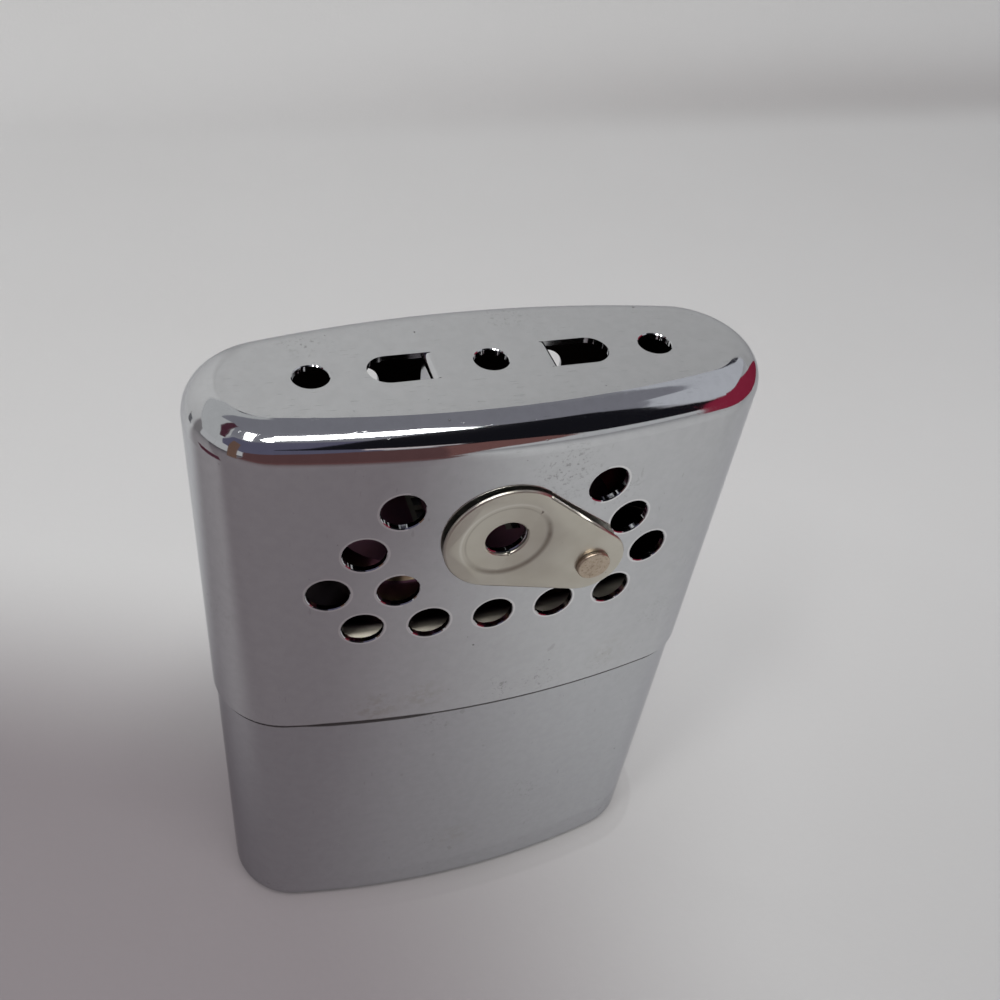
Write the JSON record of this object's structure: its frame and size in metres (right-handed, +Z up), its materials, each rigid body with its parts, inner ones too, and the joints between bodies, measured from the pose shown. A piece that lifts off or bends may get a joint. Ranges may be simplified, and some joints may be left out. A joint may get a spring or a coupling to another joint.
{
  "type": "catalytic hand warmer",
  "caption": "Oval pocket hand warmer: fuel tank with wadding, lift-off catalytic burner, vented slide-over cap with a swivelling vent shutter.",
  "frame": {"origin": "centre of the flat base, on the surface that the warmer stands on", "axes": "+Z up through the tank and cap, +X to the right seen from the front, the shutter's face looks along -Y"},
  "size_m": [0.067, 0.0257, 0.0955],
  "materials": {
    "tank_plate": "bright nickel plate with fine scratches",
    "collar_plate": "bright nickel plate",
    "neck_plate": "nickel plate, dulled by fuel",
    "gauze": "woven mesh, heat tinted",
    "felt": "pressed felt",
    "cotton": "cotton wadding",
    "burner_plate": "plated steel, heat tinted",
    "spring_steel": "bright spring steel",
    "catalyst": "grey glass-fibre mat",
    "cap_plate": "bright nickel plate with fine scratches",
    "rivet_brass": "worn plated brass",
    "shutter_nickel": "satin warm nickel"
  },
  "bodies": {
    "tank": {"tank_shell": "tank_plate", "tank_top": "collar_plate", "filler_neck": "neck_plate", "neck_gauze": "gauze", "wick_felt": "felt", "fuel_wadding": "cotton"},
    "burner": {"burner_skirt": "burner_plate", "burner_clips": "spring_steel", "lower_gauze": "gauze", "catalyst_mat": "catalyst", "upper_gauze": "gauze", "burner_hood": "burner_plate"},
    "cap": {"cap_shell": "cap_plate", "shutter_rivet": "rivet_brass", "spring_washer": "spring_steel", "back_washer": "spring_steel"},
    "shutter": {"vent_shutter": "shutter_nickel"}
  },
  "joints": [
    {"name": "cap_lift", "type": "slide", "parent": "tank", "child": "cap", "axis": [0, 0, 1], "range_m": [0, 0.05]},
    {"name": "burner_lift", "type": "slide", "parent": "tank", "child": "burner", "axis": [0, 0, 1], "range_m": [0, 0.012]},
    {"name": "shutter_swivel", "type": "hinge", "parent": "cap", "child": "shutter", "pos_m": [0.01106, -0.0125, 0.07363], "axis": [0, -1, 0], "range_deg": [-60, 55]}
  ]
}
